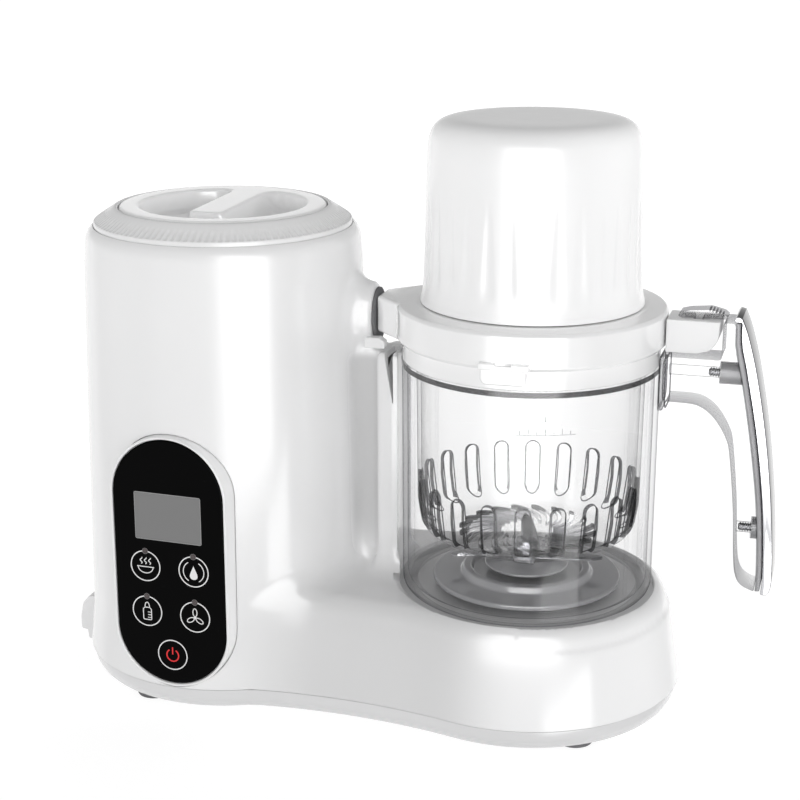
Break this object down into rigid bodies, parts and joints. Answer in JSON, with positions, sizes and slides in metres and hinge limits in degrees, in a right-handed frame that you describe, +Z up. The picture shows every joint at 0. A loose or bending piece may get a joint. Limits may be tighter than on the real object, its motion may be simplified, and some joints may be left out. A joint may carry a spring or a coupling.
{
  "type": "baby food maker",
  "caption": "Countertop steamer and blender for baby food: steam tower with touch panel beside a motor base, lift-off clear jar, basket, lid and dome cap.",
  "frame": {"origin": "centre of the footprint's bounding box, on the table under the feet", "axes": "+X from the steam tower towards the jar and its handle, -Y the front with the touch panel, +Z up"},
  "size_m": [0.3344, 0.144, 0.27],
  "materials": {
    "white_gloss": "glossy moulded white plastic",
    "clear_plastic": "clear moulded copolyester",
    "chrome": "bright chrome plating",
    "grey_plastic": "satin mid-grey plastic",
    "dark_plastic": "matte black plastic",
    "rubber": "matte dark rubber",
    "silicone": "translucent pale silicone",
    "black_glass": "gloss black touch lens",
    "steel": "brushed stainless steel",
    "aluminium": "die-cast aluminium",
    "circuit_board": "green circuit board",
    "brass": "machined brass"
  },
  "bodies": {
    "base": {"housing": "white_gloss", "base_plate": "white_gloss", "foot_1": "rubber", "foot_2": "rubber", "foot_3": "rubber", "foot_4": "rubber", "base_screw_1": "steel", "base_screw_2": "steel", "base_screw_3": "steel", "base_screw_4": "steel", "tank_ring": "white_gloss", "water_tank": "steel", "heater_plate": "aluminium", "heating_element": "steel", "thermostat": "brass", "steam_tube": "silicone", "steam_port_seal": "rubber", "panel_bezel": "white_gloss", "touch_glass": "black_glass", "display_module": "grey_plastic", "control_board": "circuit_board", "cord_hood": "white_gloss", "strain_relief": "rubber", "mains_lead": "dark_plastic", "power_board": "circuit_board", "motor_can": "steel", "stator_magnets": "dark_plastic", "motor_mount": "grey_plastic", "safety_switch": "dark_plastic", "switch_spring": "steel"},
    "tank_plug_body": {"tank_plug": "white_gloss", "tank_gasket": "silicone"},
    "tank_cap_body": {"tank_cap": "white_gloss"},
    "rotor": {"motor_armature": "steel", "cooling_fan": "dark_plastic", "drive_coupling": "dark_plastic"},
    "switch_pin": {"jar_switch_pin": "grey_plastic"},
    "jar_body": {"jar": "clear_plastic", "blade_seat": "grey_plastic", "blade_bush": "brass", "bush_nut": "steel", "handle_body": "clear_plastic", "handle_backing": "grey_plastic", "handle_trim": "chrome", "handle_screw_upper": "steel", "handle_screw_lower": "steel"},
    "blade_unit": {"blade_shaft": "steel", "driven_coupling": "dark_plastic", "blade_hub": "dark_plastic", "blade_nut": "steel", "blade_wings": "steel"},
    "basket_body": {"basket": "clear_plastic"},
    "lid": {"lid_body": "white_gloss", "spout_seal": "rubber", "lid_gasket": "silicone", "latch_housing": "white_gloss"},
    "latch": {"latch_button": "white_gloss"},
    "dome": {"dome_cap": "white_gloss"}
  },
  "joints": [
    {"name": "tank_cap_lift", "type": "slide", "parent": "base", "child": "tank_plug_body", "axis": [0, 0, 1], "range_m": [0, 0.035]},
    {"name": "tank_cap_turn", "type": "hinge", "parent": "tank_plug_body", "child": "tank_cap_body", "pos_m": [-0.0892, 0, 0.2128], "axis": [0, 0, 1], "range_deg": [0, 60]},
    {"name": "motor_spin", "type": "hinge", "parent": "base", "child": "rotor", "pos_m": [0.0556, 0, 0.0064], "axis": [0, 0, 1], "continuous": true},
    {"name": "jar_switch_press", "type": "slide", "parent": "base", "child": "switch_pin", "axis": [0, 0, -1], "range_m": [0, 0.002], "stiffness_N_per_m": 400, "springref_m": -0.001, "deforming": ["switch_spring"]},
    {"name": "jar_lift", "type": "slide", "parent": "base", "child": "jar_body", "axis": [0, 0, 1], "range_m": [0, 0.18]},
    {"name": "blade_spin", "type": "hinge", "parent": "jar_body", "child": "blade_unit", "pos_m": [0.0556, 0, 0.06], "axis": [0, 0, 1], "continuous": true},
    {"name": "basket_lift", "type": "slide", "parent": "jar_body", "child": "basket_body", "axis": [0, 0, 1], "range_m": [0, 0.1]},
    {"name": "lid_lift", "type": "slide", "parent": "basket_body", "child": "lid", "axis": [0, 0, 1], "range_m": [0, 0.06]},
    {"name": "latch_slide", "type": "slide", "parent": "lid", "child": "latch", "axis": [-1, 0, 0], "range_m": [0, 0.004]},
    {"name": "dome_lift", "type": "slide", "parent": "lid", "child": "dome", "axis": [0, 0, 1], "range_m": [0, 0.1]}
  ],
  "couplings": [
    {"joint": "blade_spin", "follows": "motor_spin", "ratio": 1}
  ]
}
